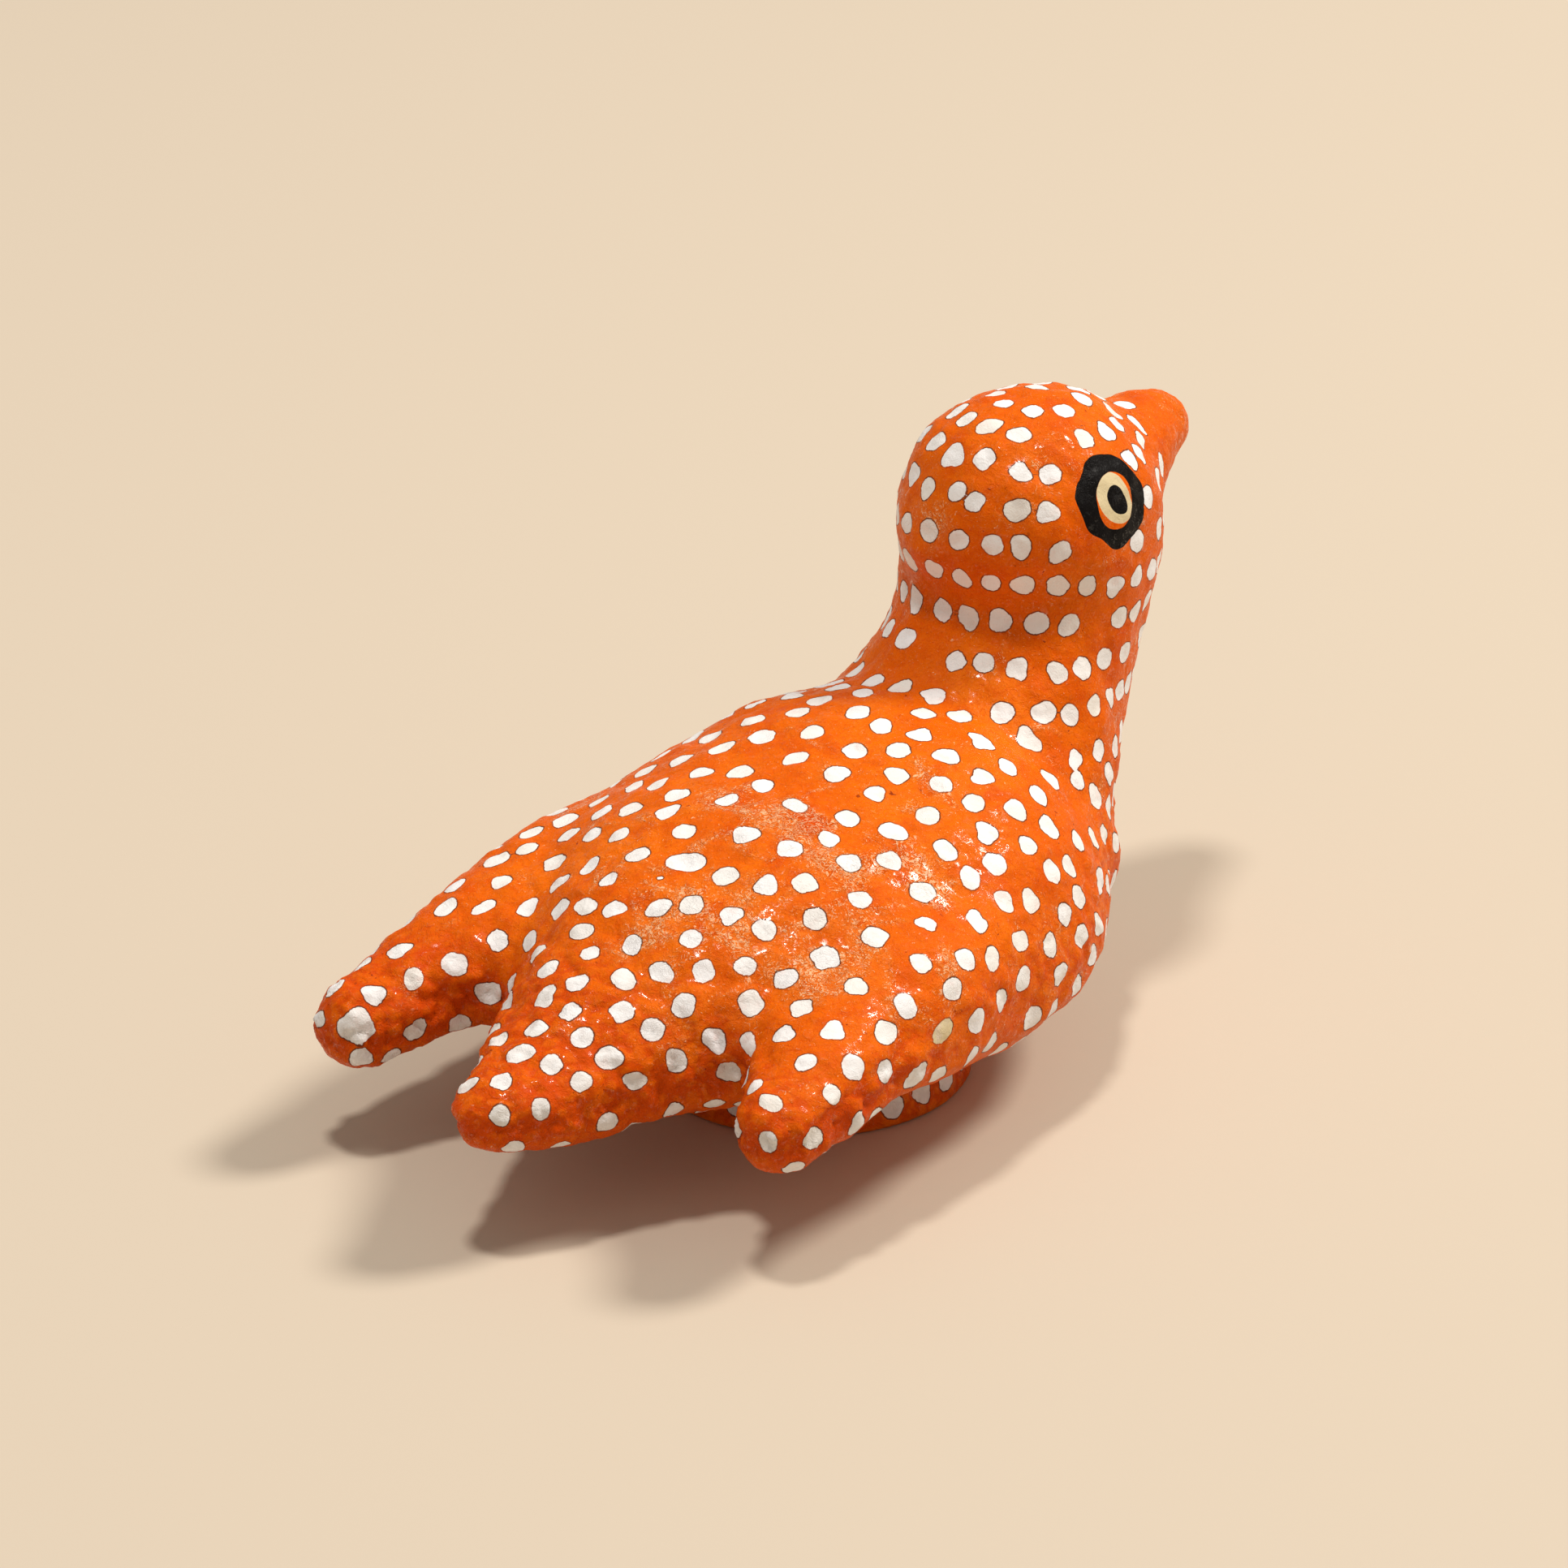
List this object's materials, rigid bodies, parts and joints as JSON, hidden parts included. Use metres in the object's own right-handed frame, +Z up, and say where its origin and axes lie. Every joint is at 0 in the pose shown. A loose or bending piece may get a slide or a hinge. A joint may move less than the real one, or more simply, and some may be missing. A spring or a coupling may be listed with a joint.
{
  "type": "papier-mache bird",
  "caption": "Small painted papier-mache bird ornament with thick neck, stub beak, two drooping wings and a tail, standing on a low round foot.",
  "frame": {"origin": "middle of the foot's underside", "axes": "+Z up, the bird looks along -Y, its right side is at -X"},
  "size_m": [0.0753, 0.1465, 0.0808],
  "materials": {
    "painted_paper": "papier-mache painted orange with white dabs and black-ringed cream eyes, satin varnish, lumpy fibrous surface",
    "painted_foot": "papier-mache painted orange with white dabs, satin varnish"
  },
  "bodies": {
    "root": {"bird": "painted_paper", "foot": "painted_foot"}
  },
  "joints": []
}
